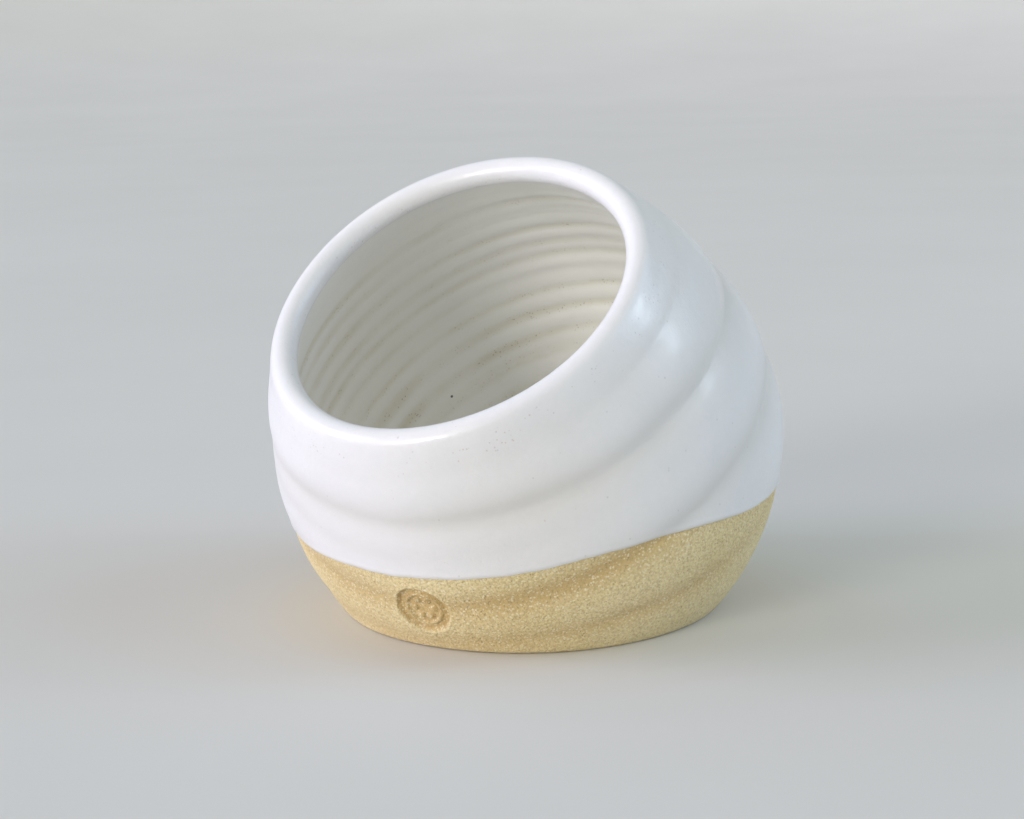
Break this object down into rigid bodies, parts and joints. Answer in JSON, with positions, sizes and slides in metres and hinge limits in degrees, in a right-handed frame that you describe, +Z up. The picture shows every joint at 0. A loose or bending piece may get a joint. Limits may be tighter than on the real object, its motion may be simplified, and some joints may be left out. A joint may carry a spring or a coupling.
{
  "type": "yarn bowl",
  "caption": "Leaning near-spherical stoneware bowl with a wide round mouth that holds a ball of yarn while it unwinds.",
  "frame": {"origin": "centre of the flat foot, on the table", "axes": "+Z up, the mouth leans towards the front at -Y, +X to the right of someone facing the mouth"},
  "size_m": [0.1328, 0.138, 0.1156],
  "materials": {
    "bare_stoneware": "unglazed, fine sandy grog",
    "liner_glaze": "satin",
    "outer_glaze": "satin white"
  },
  "bodies": {
    "root": {"stoneware_body": "bare_stoneware", "liner_glaze": "liner_glaze", "outer_glaze": "outer_glaze"}
  },
  "joints": []
}
